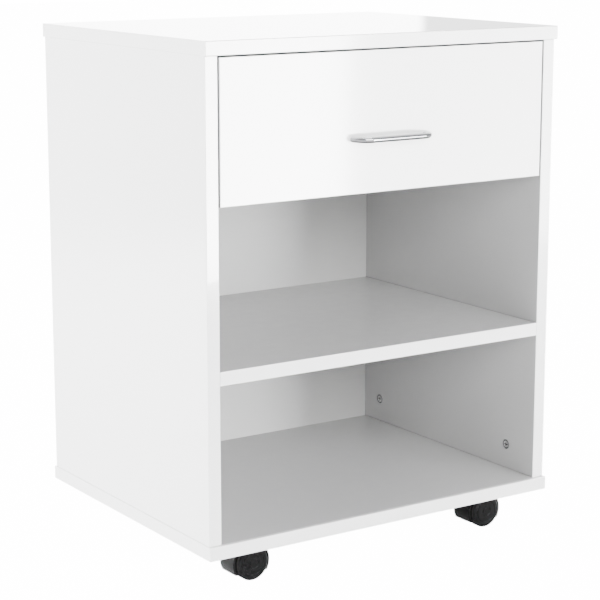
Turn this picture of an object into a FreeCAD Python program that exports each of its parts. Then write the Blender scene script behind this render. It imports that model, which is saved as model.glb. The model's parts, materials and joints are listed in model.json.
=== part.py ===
import FreeCAD, Part
import math
import os
import re
import Sketcher

# A rolling pedestal cabinet: a box of foil-wrapped boards with one drawer, two open
# compartments and four twin-wheel casters. Millimetres. +X is the cabinet's right, -Y its
# front and +Z up. The origin is on the floor, under the middle of the whole object.

SIZES = {
    # carcass boards
    "board": 15,
    "panel_width": 460,
    "panel_depth": 360,
    "panel_mid": 8,
    "carcass_low": 50,
    "carcass_high": 590,
    "inner_half": 213.5,
    "side_depth": 354,
    "side_mid": 9,
    "shelf_top": 251,
    "edge_radius": 0.8,
    # back panel, which stands in grooves
    "back_face": 168,
    "back_board": 3,
    "back_entry": 5.5,
    "groove_depth": 6,
    "groove_slack": 0.1,
    # slack of a hole around its pin, and past its pin's end
    "hole_slack": 0.05,
    "end_slack": 0.5,
    # cam locks and their bolts
    "cam_inset": 29,
    "cam_reach": 127,
    "shelf_cam_reach": 115,
    "cam_bore": 6,
    "cam_radius": 5.6,
    "cam_length": 11.2,
    "cam_socket": 3.1,
    "cam_socket_past": 2.2,
    "cross_reach": 3.2,
    "cross_half": 0.8,
    "cross_depth": 2,
    "bolt_thread": 2.5,
    "bolt_thread_length": 10,
    "bolt_shank": 2.9,
    "bolt_bore": 3.2,
    "bolt_neck": 1.8,
    "bolt_neck_length": 4,
    "bolt_head": 2.8,
    "bolt_head_length": 3.5,
    # wooden dowels
    "dowel_radius": 4,
    "dowel_in_end": 20,
    "dowel_in_face": 9,
    "dowel_reach": 85,
    "shelf_dowel_reach": 70,
    # drawer
    "front_half": 211.5,
    "front_low": 421.7,
    "front_height": 151.3,
    "drawer_half": 201,
    "drawer_wall": 12,
    "drawer_low": 440,
    "drawer_height": 110,
    "drawer_length": 300,
    "drawer_floor": 449,
    "floor_board": 3,
    "floor_entry": 5.5,
    "drawer_cam_inset": 24,
    "drawer_cam_length": 9,
    "drawer_cam_low": 25,
    "drawer_cam_rise": 60,
    "back_screw_low": 30,
    "back_screw_rise": 50,
    # handle
    "handle_height": 480.5,
    "handle_spacing": 96,
    "handle_rod": 3.25,
    "handle_reach": 16.75,
    "handle_bend": 15.75,
    "handle_screw": 2,
    "handle_screw_entry": 5,
    "handle_screw_head": 4,
    "handle_screw_head_length": 2.4,
    "handle_screw_hole": 2.3,
    # roller runners: sheet profiles, rollers and rivets
    "sheet": 1.2,
    "runner_length": 300,
    "cabinet_runner_front": -151,
    "cabinet_runner_low": 430,
    "cabinet_runner_height": 28,
    "cabinet_runner_width": 10,
    "cabinet_runner_notch": 22.5,
    "drawer_runner_front": -152.6,
    "drawer_runner_height": 13.2,
    "drawer_runner_ledge": 12,
    "drawer_runner_width": 9.6,
    "drawer_runner_notch": 33,
    "roller_radius": 10,
    "roller_width": 8,
    "roller_rim": 0.6,
    "rivet_radius": 2,
    "rivet_head": 3,
    "rivet_head_length": 0.8,
    "rivet_slack": 0.3,
    "cabinet_roller_front": -140,
    "cabinet_roller_height": 440.5,
    "drawer_roller_front": 125,
    "drawer_roller_height": 441.5,
    # small sheet-metal and wood screws
    "screw_radius": 1.7,
    "screw_length": 11,
    "screw_head": 2.6,
    "screw_head_length": 1.1,
    "cabinet_screw_height": 452.9,
    "drawer_screw_height": 446.6,
    "back_screw_radius": 1.9,
    "back_screw_length": 40,
    "back_screw_head": 3.8,
    "back_screw_sink": 2.2,
    # casters, measured from the swivel axis and the floor
    "caster_x": 163,
    "caster_y": 118,
    "wheel_radius": 20,
    "trail": 14,
    "plate_side": 42,
    "plate_board": 2,
    "plate_corner": 4,
    "plate_screw_reach": 15.5,
    "plate_screw_hole": 2.2,
    "kingpin_radius": 3.5,
    "kingpin_low": 22,
    "kingpin_flange": 7,
    "kingpin_flange_length": 1.5,
    "swivel_gap": 0.3,
    "hood_radius": 23.5,
    "hood_inner": 20.7,
    "hood_half": 14.75,
    "hood_low": 8.3,
    "hood_round": 1.6,
    "web_half": 6.3,
    "socket_radius": 6.2,
    "socket_low": 19.5,
    "neck_radius": 8,
    "neck_low": 38.6,
    "caster_axle": 3,
    "caster_axle_half": 15,
    "wheel_inner": 6.8,
    "wheel_face": 18.8,
    "wheel_shoulder": 16.2,
    "wheel_crown": 17.9,
    "wheel_crown_inset": 2.6,
    "wheel_dish_radius": 17,
    "wheel_dish_depth": 14.6,
    "wheel_hub": 5.6,
    "wheel_ring_radius": 12.6,
    "wheel_ring_width": 0.8,
    "wheel_ring_depth": 0.5,
    "caster_screw_head": 3.5,
    "caster_screw_head_length": 2,
    "caster_screw_length": 12,
}

SIDE_HEIGHT = "(carcass_high - carcass_low - 2 * board)"
SIDE_CENTRE = "((carcass_high + carcass_low) / 2)"
FRONT_FACE = "(side_mid - side_depth / 2)"
BOX_FRONT = f"({FRONT_FACE} + board)"
SHELF_DEPTH = f"(back_face - {FRONT_FACE})"
SHELF_MID = f"((back_face + {FRONT_FACE}) / 2)"
SHELF_CENTRE = "(shelf_top - board / 2)"
DRAWER_INNER = "(drawer_half - drawer_wall)"
DRAWER_CAM_MID = "drawer_low + drawer_cam_low + drawer_cam_rise / 2"
NECK_TOP = "(carcass_low - plate_board - kingpin_flange_length - swivel_gap)"

# which way a sketch on each origin plane faces, along the plane's own axis
FACING = {"XY_Plane": 1, "XZ_Plane": -1, "YZ_Plane": 1}
RUNNER_SCREWS = {"cabinet": (60, 150, 240), "drawer": (45, 150, 232)}
HANDS = {"left": -1, "right": 1}
CORNERS = {
    "front_left": (-1, -1),
    "front_right": (1, -1),
    "back_left": (-1, 1),
    "back_right": (1, 1),
}

doc = FreeCAD.newDocument("RollingPedestalCabinet")


# ---- the sheet and its bindings ----

def fill_sheet():
    """The driving dimensions, one named cell each."""
    sheet = doc.addObject("Spreadsheet::Sheet", "Sizes")
    for row, (name, value) in enumerate(SIZES.items(), start=1):
        sheet.set(f"A{row}", name)
        sheet.set(f"B{row}", str(value))
        sheet.setAlias(f"B{row}", name)
    doc.recompute()


def sized(text):
    """An expression in which each size's name is written as its cell in the sheet."""
    return re.sub(r"[a-z_]+", lambda word: f"Sizes.{word[0]}" if word[0] in SIZES else word[0], text)


def bind(item, path, text):
    item.setExpression(path, sized(text))


# ---- bodies, sketches and features ----

def new_body(label, place, turn=0):
    """An empty body whose origin stands at place, turned about +Z by turn degrees."""
    body = doc.addObject("PartDesign::Body", label)
    body.Label = label
    body.AllowCompound = True
    body.Placement = FreeCAD.Placement(
        FreeCAD.Vector(), FreeCAD.Rotation(FreeCAD.Vector(0, 0, 1), turn)
    )
    for axis, text in zip("xyz", place):
        bind(body, f"Placement.Base.{axis}", text)
    return body


def origin_plane(body, role):
    return next(item for item in body.Origin.OriginFeatures if item.Role == role)


def sketch_on(body, role, level="0"):
    """A sketch on one of the body's origin planes, moved along +X, +Y or +Z to level."""
    sketch = body.newObject("Sketcher::SketchObject", f"{role[:2]}_Sketch")
    sketch.AttachmentSupport = [(origin_plane(body, role), "")]
    sketch.MapMode = "FlatFace"
    bind(sketch, "AttachmentOffset.Base.z", f"{FACING[role]} * ({level})")
    return sketch


def fix_point(sketch, element, end, point):
    """Holds one end of a sketch element at point, measured from the sketch's origin."""
    drawn = sketch.getPoint(element, end)
    for kind, at, text in zip(("DistanceX", "DistanceY"), drawn, point):
        index = sketch.addConstraint(Sketcher.Constraint(kind, -1, 1, element, end, at))
        bind(sketch, f"Constraints[{index}]", text)


def fix_radius(sketch, element, radius):
    drawn = sketch.Geometry[element].Radius
    index = sketch.addConstraint(Sketcher.Constraint("Radius", element, drawn))
    bind(sketch, f"Constraints[{index}]", radius)


def draw_polygon(sketch, points):
    """A closed outline of straight lines through points."""
    count = len(points)
    first = sketch.GeometryCount
    for index in range(count):
        start = FreeCAD.Vector(index, index * index, 0)
        end = FreeCAD.Vector(index + 1, (index + 1) ** 2, 0)
        sketch.addGeometry(Part.LineSegment(start, end), False)
    for index, point in enumerate(points):
        line = first + index
        following = first + (index + 1) % count
        sketch.addConstraint(Sketcher.Constraint("Coincident", line, 2, following, 1))
        fix_point(sketch, line, 1, point)


def draw_rectangle(sketch, low, high):
    """An upright rectangle between its lowest and highest corners."""
    draw_polygon(sketch, [low, (high[0], low[1]), high, (low[0], high[1])])


def draw_circles(sketch, centres, radius):
    for centre in centres:
        circle = Part.Circle(FreeCAD.Vector(1, 1, 0), FreeCAD.Vector(0, 0, 1), 1)
        element = sketch.addGeometry(circle, False)
        fix_point(sketch, element, 3, centre)
        fix_radius(sketch, element, radius)


def pad(body, sketch, length, way=1):
    """Adds the sketch's outline, along its plane's axis when way is 1, both ways when 0."""
    feature = body.newObject("PartDesign::Pad", "Pad")
    feature.Profile = (sketch, [""])
    feature.SideType = "One side" if way else "Symmetric"
    feature.Reversed = way * FACING[sketch.AttachmentSupport[0][0].Role] < 0
    bind(feature, "Length", length)
    return feature


def pocket(body, sketch, depth, way=1):
    """Cuts the sketch's outline, along its plane's axis when way is 1, both ways when 0."""
    feature = body.newObject("PartDesign::Pocket", "Pocket")
    feature.Profile = (sketch, [""])
    feature.SideType = "One side" if way else "Symmetric"
    feature.Reversed = way * FACING[sketch.AttachmentSupport[0][0].Role] > 0
    bind(feature, "Length", depth)
    return feature


def round_edges(body, feature, radius, chosen=lambda edge: True):
    """Rounds those of the feature's edges that chosen picks, all of them by default."""
    doc.recompute()
    names = [f"Edge{i}" for i, edge in enumerate(feature.Shape.Edges, start=1) if chosen(edge)]
    fillet = body.newObject("PartDesign::Fillet", "Fillet")
    fillet.Base = (feature, names)
    bind(fillet, "Radius", radius)
    return fillet


def mirror(body, *roles):
    """Repeats the whole body across each of its origin planes in turn."""
    for role in roles:
        feature = body.newObject("PartDesign::Mirrored", "Mirrored")
        feature.TransformMode = "Whole shape"
        feature.MirrorPlane = (origin_plane(body, role), [""])
        body.Tip = feature


def revolve(body, points):
    """Turns an outline in the XY plane about the body's Y axis."""
    sketch = sketch_on(body, "XY_Plane")
    draw_polygon(sketch, points)
    feature = body.newObject("PartDesign::Revolution", "Revolution")
    feature.Profile = (sketch, [""])
    feature.ReferenceAxis = (sketch, ["V_Axis"])
    feature.Angle = 360
    return feature


# ---- shapes that repeat ----

def board(label, place, role, low, high, thickness, way=1):
    """A flat board with softened edges, drawn on one origin plane of its body."""
    body = new_body(label, place)
    sketch = sketch_on(body, role)
    draw_rectangle(sketch, low, high)
    round_edges(body, pad(body, sketch, thickness, way), "edge_radius")
    return body


def drill(body, role, level, centres, radius, depth, way):
    """Round blind holes that start at level and run along the plane's axis by way."""
    sketch = sketch_on(body, role, level)
    draw_circles(sketch, centres, radius)
    return pocket(body, sketch, depth, way)


def rout(body, role, level, low, high, depth, way):
    """A rectangular groove or notch that starts at level."""
    sketch = sketch_on(body, role, level)
    draw_rectangle(sketch, low, high)
    return pocket(body, sketch, depth, way)


def turned_pin(body, role, centre, start, steps, way=1):
    """A pin along a plane's axis: each step is the radius and length of one stretch."""
    level = start
    for radius, length in steps:
        sketch = sketch_on(body, role, level)
        draw_circles(sketch, [centre], radius)
        feature = pad(body, sketch, length, way)
        level = f"({level} + {way} * {length})"
    return feature


def cross_recess(body, role, level, centre, way):
    """A cross-shaped driver recess."""
    u, v = centre
    for reach_u, reach_v in (("cross_reach", "cross_half"), ("cross_half", "cross_reach")):
        low = (f"{u} - {reach_u}", f"{v} - {reach_v}")
        high = (f"{u} + {reach_u}", f"{v} + {reach_v}")
        rout(body, role, level, low, high, "cross_depth", way)


def pairs(u, v):
    """The four points (+-u, +-v)."""
    return [(f"{i} * {u}", f"{j} * {v}") for i in (-1, 1) for j in (-1, 1)]


def cam_bolt(body, role, centre, start, reach, way):
    """A cam bolt: thread in the face board, then shank, neck and head up to the cam."""
    shank = f"({reach} - bolt_neck_length - bolt_head_length / 2)"
    steps = [
        ("bolt_thread", "bolt_thread_length"),
        ("bolt_shank", shank),
        ("bolt_neck", "bolt_neck_length"),
        ("bolt_head", "bolt_head_length"),
    ]
    turned_pin(body, role, centre, f"({start} - {way} * bolt_thread_length)", steps, way)


# ---- carcass ----

def face_panel(label, low, level, way):
    """The top or bottom panel, bored and grooved from level, which is its inner face."""
    body = board(
        label,
        ("0", "panel_mid", low),
        "XY_Plane",
        ("-panel_width / 2", "-panel_depth / 2"),
        ("panel_width / 2", "panel_depth / 2"),
        "board",
    )
    line = "(inner_half + board / 2)"
    shift = "(side_mid - panel_mid)"
    bolts = [(f"{i} * {line}", f"{shift} + {j} * cam_reach") for i in (-1, 1) for j in (-1, 1)]
    pins = [(f"{i} * {line}", f"{shift} + {j} * dowel_reach") for i in (-1, 1) for j in (-1, 1)]
    drill(body, "XY_Plane", level, bolts, "bolt_thread + hole_slack", "bolt_thread_length + end_slack", way)
    drill(body, "XY_Plane", level, pins, "dowel_radius + hole_slack", "dowel_in_face + end_slack", way)
    rout(
        body,
        "XY_Plane",
        level,
        ("-inner_half - groove_depth", "back_face - panel_mid - groove_slack"),
        ("inner_half + groove_depth", "back_face - panel_mid + back_board + groove_slack"),
        "groove_depth",
        way,
    )
    return body


def top_panel():
    return face_panel("top_panel", "carcass_high - board", "0", 1)


def bottom_panel():
    """The bottom panel, with pilot holes for the casters' screws in its underside."""
    body = face_panel("bottom_panel", "carcass_low", "board", -1)
    pilots = [
        (f"{i} * caster_x + {k} * plate_screw_reach", f"{j} * caster_y + {n} * plate_screw_reach")
        for i, j in CORNERS.values()
        for k, n in CORNERS.values()
    ]
    drill(body, "XY_Plane", "0", pilots, "screw_radius + hole_slack", "caster_screw_length + end_slack", 1)
    return body


def side_panel(hand_name):
    """A side panel. Its body's origin is in the middle of its inner face."""
    hand = HANDS[hand_name]
    body = board(
        f"{hand_name}_side_panel",
        (f"{hand} * inner_half", "side_mid", SIDE_CENTRE),
        "YZ_Plane",
        ("-side_depth / 2", f"-{SIDE_HEIGHT} / 2"),
        ("side_depth / 2", f"{SIDE_HEIGHT} / 2"),
        "board",
        hand,
    )
    inner = "YZ_Plane"
    cams = pairs("cam_reach", f"({SIDE_HEIGHT} / 2 - cam_inset)")
    drill(body, inner, "0", cams, "cam_bore", "cam_length + end_slack", hand)
    for end in (-1, 1):
        level = f"{end} * {SIDE_HEIGHT} / 2"
        middle = f"{hand} * board / 2"
        bolts = [(middle, f"{j} * cam_reach") for j in (-1, 1)]
        pins = [(middle, f"{j} * dowel_reach") for j in (-1, 1)]
        drill(body, "XY_Plane", level, bolts, "bolt_bore", "cam_inset", -end)
        drill(body, "XY_Plane", level, pins, "dowel_radius + hole_slack", "dowel_in_end + end_slack", -end)
    shelf = f"({SHELF_CENTRE} - {SIDE_CENTRE})"
    bolts = [(f"{SHELF_MID} - side_mid + {j} * shelf_cam_reach", shelf) for j in (-1, 1)]
    pins = [(f"{SHELF_MID} - side_mid + {j} * shelf_dowel_reach", shelf) for j in (-1, 1)]
    drill(body, inner, "0", bolts, "bolt_thread + hole_slack", "bolt_thread_length + end_slack", hand)
    drill(body, inner, "0", pins, "dowel_radius + hole_slack", "dowel_in_face + end_slack", hand)
    screws = [
        (f"cabinet_runner_front + {place} - side_mid", f"cabinet_screw_height - {SIDE_CENTRE}")
        for place in RUNNER_SCREWS["cabinet"]
    ]
    drill(body, inner, "0", screws, "screw_radius + hole_slack", "screw_length + end_slack", hand)
    rout(
        body,
        inner,
        "0",
        ("back_face - side_mid - groove_slack", f"-{SIDE_HEIGHT} / 2 - board"),
        ("back_face - side_mid + back_board + groove_slack", f"{SIDE_HEIGHT} / 2 + board"),
        "groove_depth",
        hand,
    )
    return body


def back_panel():
    """The thin back, which enters the grooves of the other four panels."""
    body = new_body("back_panel", ("0", "back_face", SIDE_CENTRE))
    sketch = sketch_on(body, "XZ_Plane")
    half_width = "(inner_half + back_entry)"
    half_height = f"({SIDE_HEIGHT} / 2 + back_entry)"
    draw_rectangle(sketch, (f"-{half_width}", f"-{half_height}"), (half_width, half_height))
    pad(body, sketch, "back_board")
    return body


def middle_shelf():
    """The shelf between the compartments, bored from below for its cams."""
    body = board(
        "middle_shelf",
        ("0", SHELF_MID, "shelf_top - board"),
        "XY_Plane",
        ("-inner_half", f"-{SHELF_DEPTH} / 2"),
        ("inner_half", f"{SHELF_DEPTH} / 2"),
        "board",
    )
    cams = pairs("(inner_half - cam_inset)", "shelf_cam_reach")
    drill(body, "XY_Plane", "0", cams, "cam_bore", "cam_length + end_slack", 1)
    for hand in HANDS.values():
        bolts = [(f"{j} * shelf_cam_reach", "board / 2") for j in (-1, 1)]
        pins = [(f"{j} * shelf_dowel_reach", "board / 2") for j in (-1, 1)]
        level = f"{hand} * inner_half"
        drill(body, "YZ_Plane", level, bolts, "bolt_bore", "cam_inset", -hand)
        drill(body, "YZ_Plane", level, pins, "dowel_radius + hole_slack", "dowel_in_end + end_slack", -hand)
    return body


def side_cam_locks():
    """Eight cams that clamp the sides to the top and bottom panels."""
    body = new_body("side_cam_locks", ("0", "side_mid", SIDE_CENTRE))
    height = f"({SIDE_HEIGHT} / 2 - cam_inset)"
    turned_pin(body, "YZ_Plane", ("cam_reach", height), "inner_half", [("cam_radius", "cam_length")])
    cross_recess(body, "YZ_Plane", "inner_half", ("cam_reach", height), 1)
    socket = [("inner_half + board / 2", "cam_reach")]
    rim = f"{height} + cam_radius + end_slack"
    drill(body, "XY_Plane", rim, socket, "cam_socket", "cam_radius + end_slack + cam_socket_past", -1)
    mirror(body, "YZ_Plane", "XZ_Plane", "XY_Plane")
    return body


def side_cam_bolts():
    """Eight bolts in the top and bottom panels, one for each side cam."""
    body = new_body("side_cam_bolts", ("0", "side_mid", SIDE_CENTRE))
    centre = ("inner_half + board / 2", "cam_reach")
    cam_bolt(body, "XY_Plane", centre, f"{SIDE_HEIGHT} / 2", "cam_inset", -1)
    mirror(body, "YZ_Plane", "XZ_Plane", "XY_Plane")
    return body


def side_dowels():
    """Eight dowels that line the sides up with the top and bottom panels."""
    body = new_body("side_dowels", ("0", "side_mid", SIDE_CENTRE))
    centre = ("inner_half + board / 2", "dowel_reach")
    start = f"{SIDE_HEIGHT} / 2 + dowel_in_face"
    turned_pin(body, "XY_Plane", centre, start, [("dowel_radius", "(dowel_in_face + dowel_in_end)")], -1)
    mirror(body, "YZ_Plane", "XZ_Plane", "XY_Plane")
    return body


def shelf_cam_locks():
    """Four cams in the underside of the shelf."""
    body = new_body("shelf_cam_locks", ("0", SHELF_MID, "shelf_top - board"))
    across = "(inner_half - cam_inset)"
    centre = (across, "shelf_cam_reach")
    turned_pin(body, "XY_Plane", centre, "0", [("cam_radius", "cam_length")])
    cross_recess(body, "XY_Plane", "0", centre, 1)
    socket = [("shelf_cam_reach", "board / 2")]
    rim = f"{across} + cam_radius + end_slack"
    drill(body, "YZ_Plane", rim, socket, "cam_socket", "cam_radius + end_slack + cam_socket_past", -1)
    mirror(body, "YZ_Plane", "XZ_Plane")
    return body


def shelf_cam_bolts():
    """Four bolts in the sides, one for each shelf cam."""
    body = new_body("shelf_cam_bolts", ("0", SHELF_MID, SHELF_CENTRE))
    cam_bolt(body, "YZ_Plane", ("shelf_cam_reach", "0"), "inner_half", "cam_inset", -1)
    mirror(body, "YZ_Plane", "XZ_Plane")
    return body


def shelf_dowels():
    """Four dowels that line the shelf up with the sides."""
    body = new_body("shelf_dowels", ("0", SHELF_MID, SHELF_CENTRE))
    centre = ("shelf_dowel_reach", "0")
    start = "inner_half + dowel_in_face"
    turned_pin(body, "YZ_Plane", centre, start, [("dowel_radius", "(dowel_in_face + dowel_in_end)")], -1)
    mirror(body, "YZ_Plane", "XZ_Plane")
    return body


# ---- drawer ----

def drawer_front():
    """The drawer's front board, flush with the sides' front edges."""
    body = new_body("drawer_front", ("0", FRONT_FACE, "front_low"))
    sketch = sketch_on(body, "XZ_Plane")
    draw_rectangle(sketch, ("-front_half", "0"), ("front_half", "front_height"))
    round_edges(body, pad(body, sketch, "board"), "edge_radius")
    base = "(drawer_low - front_low + drawer_cam_low)"
    bolts = [
        (f"{hand} * (drawer_half - drawer_wall / 2)", f"{base} + {rise} * drawer_cam_rise")
        for hand in HANDS.values()
        for rise in (0, 1)
    ]
    reach = "bolt_thread_length + end_slack"
    drill(body, "XZ_Plane", "board", bolts, "bolt_thread + hole_slack", reach, -1)
    screws = [(f"{hand} * handle_spacing / 2", "handle_height - front_low") for hand in HANDS.values()]
    drill(body, "XZ_Plane", "-end_slack", screws, "handle_screw_hole", "board + 2 * end_slack", 1)
    rout(
        body,
        "XZ_Plane",
        "board",
        (f"-{DRAWER_INNER} - groove_depth", "drawer_floor - front_low - groove_slack"),
        (f"{DRAWER_INNER} + groove_depth", "drawer_floor - front_low + floor_board + groove_slack"),
        "groove_depth",
        -1,
    )
    return body


def drawer_side(hand_name):
    """A drawer side. Its body's origin is at the lower front corner of its inner face."""
    hand = HANDS[hand_name]
    body = board(
        f"drawer_{hand_name}_side",
        (f"{hand} * {DRAWER_INNER}", BOX_FRONT, "drawer_low"),
        "YZ_Plane",
        ("0", "0"),
        ("drawer_length", "drawer_height"),
        "drawer_wall",
        hand,
    )
    heights = [f"drawer_cam_low + {rise} * drawer_cam_rise" for rise in (0, 1)]
    cams = [("drawer_cam_inset", height) for height in heights]
    bolts = [(f"{hand} * drawer_wall / 2", height) for height in heights]
    drill(body, "YZ_Plane", "0", cams, "cam_bore", "drawer_cam_length + end_slack", hand)
    drill(body, "XZ_Plane", "0", bolts, "bolt_bore", "drawer_cam_inset", 1)
    screws = [
        ("drawer_length - drawer_wall / 2", f"back_screw_low + {rise} * back_screw_rise")
        for rise in (0, 1)
    ]
    outer = f"{hand} * drawer_wall"
    drill(body, "YZ_Plane", outer, screws, "back_screw_radius + hole_slack", "drawer_wall", -hand)
    drill(body, "YZ_Plane", outer, screws, "back_screw_head + hole_slack", "back_screw_sink", -hand)
    runner = [
        (f"drawer_runner_front - {BOX_FRONT} + {place}", "drawer_screw_height - drawer_low")
        for place in RUNNER_SCREWS["drawer"]
    ]
    drill(body, "YZ_Plane", outer, runner, "screw_radius + hole_slack", "screw_length + end_slack", -hand)
    rout(
        body,
        "YZ_Plane",
        "0",
        ("-board", "drawer_floor - drawer_low - groove_slack"),
        ("drawer_length - drawer_wall / 2", "drawer_floor - drawer_low + floor_board + groove_slack"),
        "groove_depth",
        hand,
    )
    return body


def drawer_back():
    """The drawer's back board, between its sides and grooved for the drawer's bottom."""
    body = board(
        "drawer_back",
        ("0", f"{BOX_FRONT} + drawer_length - drawer_wall", "drawer_low"),
        "XZ_Plane",
        (f"-{DRAWER_INNER}", "0"),
        (DRAWER_INNER, "drawer_height"),
        "drawer_wall",
    )
    for hand in HANDS.values():
        screws = [
            ("drawer_wall / 2", f"back_screw_low + {rise} * back_screw_rise") for rise in (0, 1)
        ]
        level = f"{hand} * {DRAWER_INNER}"
        depth = "back_screw_length - drawer_wall + end_slack"
        drill(body, "YZ_Plane", level, screws, "back_screw_radius + hole_slack", depth, -hand)
    rout(
        body,
        "XZ_Plane",
        "0",
        (f"-{DRAWER_INNER} - board", "drawer_floor - drawer_low - groove_slack"),
        (f"{DRAWER_INNER} + board", "drawer_floor - drawer_low + floor_board + groove_slack"),
        "groove_depth",
        1,
    )
    return body


def drawer_bottom():
    """The drawer's thin bottom, which enters the grooves of its four walls."""
    body = new_body("drawer_bottom", ("0", BOX_FRONT, "drawer_floor"))
    sketch = sketch_on(body, "XY_Plane")
    half = f"({DRAWER_INNER} + floor_entry)"
    back = "drawer_length - drawer_wall + floor_entry"
    draw_rectangle(sketch, (f"-{half}", "-floor_entry"), (half, back))
    pad(body, sketch, "floor_board")
    return body


def drawer_cam_locks():
    """Four cams in the drawer's sides, which hold the front on."""
    body = new_body("drawer_cam_locks", ("0", BOX_FRONT, DRAWER_CAM_MID))
    centre = ("drawer_cam_inset", "drawer_cam_rise / 2")
    turned_pin(body, "YZ_Plane", centre, DRAWER_INNER, [("cam_radius", "drawer_cam_length")])
    cross_recess(body, "YZ_Plane", DRAWER_INNER, centre, 1)
    socket = [(f"{DRAWER_INNER} + drawer_wall / 2", "drawer_cam_rise / 2")]
    rim = "drawer_cam_inset - cam_radius - end_slack"
    drill(body, "XZ_Plane", rim, socket, "cam_socket", "cam_radius + end_slack + cam_socket_past", 1)
    mirror(body, "YZ_Plane", "XY_Plane")
    return body


def drawer_cam_bolts():
    """Four bolts in the drawer's front, one for each drawer cam."""
    body = new_body("drawer_cam_bolts", ("0", BOX_FRONT, DRAWER_CAM_MID))
    centre = (f"{DRAWER_INNER} + drawer_wall / 2", "drawer_cam_rise / 2")
    cam_bolt(body, "XZ_Plane", centre, "0", "drawer_cam_inset", 1)
    mirror(body, "YZ_Plane", "XY_Plane")
    return body


def drawer_back_screws():
    """Four countersunk screws through the drawer's sides into its back."""
    middle = f"{BOX_FRONT} + drawer_length - drawer_wall / 2"
    height = "drawer_low + back_screw_low + back_screw_rise / 2"
    body = new_body("drawer_back_screws", ("0", middle, height))
    centre = ("0", "back_screw_rise / 2")
    steps = [
        ("back_screw_head", "back_screw_sink"),
        ("back_screw_radius", "(back_screw_length - back_screw_sink)"),
    ]
    turned_pin(body, "YZ_Plane", centre, "drawer_half", steps, -1)
    mirror(body, "YZ_Plane", "XY_Plane")
    return body


def drawer_handle():
    """A bow handle: one round rod with two bends, flat on the drawer's front at both feet."""
    body = new_body("drawer_handle", ("0", FRONT_FACE, "handle_height"))
    foot = SIZES["handle_spacing"] / 2
    reach = SIZES["handle_reach"]
    bend = SIZES["handle_bend"]
    path = sketch_on(body, "XY_Plane")
    ends = [(-foot, 0), (-foot, bend - reach), (bend - foot, -reach)]
    ends += [(-x, y) for x, y in reversed(ends)]
    left_foot, left_top, left_bar, right_bar, right_top, right_foot = [
        FreeCAD.Vector(x, y, 0) for x, y in ends
    ]
    up = FreeCAD.Vector(0, 0, 1)
    left_bend = Part.Circle(FreeCAD.Vector(left_bar.x, left_top.y, 0), up, bend)
    right_bend = Part.Circle(FreeCAD.Vector(right_bar.x, right_top.y, 0), up, bend)
    half_turn = left_bend.parameter(left_top)
    path.addGeometry(Part.LineSegment(left_foot, left_top), False)
    path.addGeometry(Part.ArcOfCircle(left_bend, half_turn, 1.5 * half_turn), False)
    path.addGeometry(Part.LineSegment(left_bar, right_bar), False)
    path.addGeometry(Part.ArcOfCircle(right_bend, 1.5 * half_turn, 2 * half_turn), False)
    path.addGeometry(Part.LineSegment(right_top, right_foot), False)
    for element in range(4):
        path.addConstraint(Sketcher.Constraint("Tangent", element, 2, element + 1, 1))
    path.addConstraint(Sketcher.Constraint("Vertical", 0))
    path.addConstraint(Sketcher.Constraint("Horizontal", 2))
    path.addConstraint(Sketcher.Constraint("Equal", 1, 3))
    fix_radius(path, 1, "handle_bend")
    fix_point(path, 0, 1, ("-handle_spacing / 2", "0"))
    fix_point(path, 4, 2, ("handle_spacing / 2", "0"))
    bar_line = path.addConstraint(Sketcher.Constraint("DistanceY", -1, 1, 2, 1, -reach))
    bind(path, f"Constraints[{bar_line}]", "-handle_reach")
    section = sketch_on(body, "XZ_Plane")
    draw_circles(section, [("-handle_spacing / 2", "0")], "handle_rod")
    rod = body.newObject("PartDesign::AdditivePipe", "Rod")
    rod.Profile = (section, [""])
    rod.Spine = (path, [f"Edge{index}" for index in range(1, 6)])
    screws = [(f"{hand} * handle_spacing / 2", "0") for hand in HANDS.values()]
    drill(body, "XZ_Plane", "0", screws, "handle_screw + hole_slack", "handle_screw_entry + end_slack", -1)
    return body


def handle_screws():
    """Two pan-head screws through the drawer's front into the handle's feet."""
    body = new_body("handle_screws", ("0", FRONT_FACE, "handle_height"))
    centre = ("handle_spacing / 2", "0")
    steps = [
        ("handle_screw_head", "handle_screw_head_length"),
        ("handle_screw", "(board + handle_screw_entry)"),
    ]
    head = "(board + handle_screw_head_length)"
    turned_pin(body, "XZ_Plane", centre, head, steps, -1)
    cross_recess(body, "XZ_Plane", head, centre, -1)
    mirror(body, "YZ_Plane")
    return body


# ---- drawer runners ----

def cabinet_runner(hand_name):
    """The runner on the carcass: a channel open towards the drawer, cut back at its roller."""
    hand = HANDS[hand_name]
    place = (f"{hand} * inner_half", "cabinet_runner_front", "cabinet_runner_low")
    body = new_body(f"{hand_name}_cabinet_runner", place)
    section = sketch_on(body, "XZ_Plane")
    lip = f"-{hand} * cabinet_runner_width"
    web = f"-{hand} * sheet"
    top = "cabinet_runner_height"
    corners = [
        ("0", "0"), (lip, "0"), (lip, "sheet"), (web, "sheet"),
        (web, f"{top} - sheet"), (lip, f"{top} - sheet"), (lip, top), ("0", top),
    ]
    draw_polygon(section, corners)
    pad(body, section, "runner_length")
    beyond = f"-{hand} * (cabinet_runner_width + sheet)"
    rout(body, "XY_Plane", "-sheet", (web, "-sheet"), (beyond, "cabinet_runner_notch"), "3 * sheet", 1)
    screw_line = "cabinet_screw_height - cabinet_runner_low"
    screws = [(str(along), screw_line) for along in RUNNER_SCREWS["cabinet"]]
    drill(body, "YZ_Plane", "0", screws, "screw_radius + hole_slack", "sheet", -hand)
    rivet = [("cabinet_roller_front - cabinet_runner_front", "cabinet_roller_height - cabinet_runner_low")]
    drill(body, "YZ_Plane", "0", rivet, "rivet_radius + hole_slack", "sheet", -hand)
    return body


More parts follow.
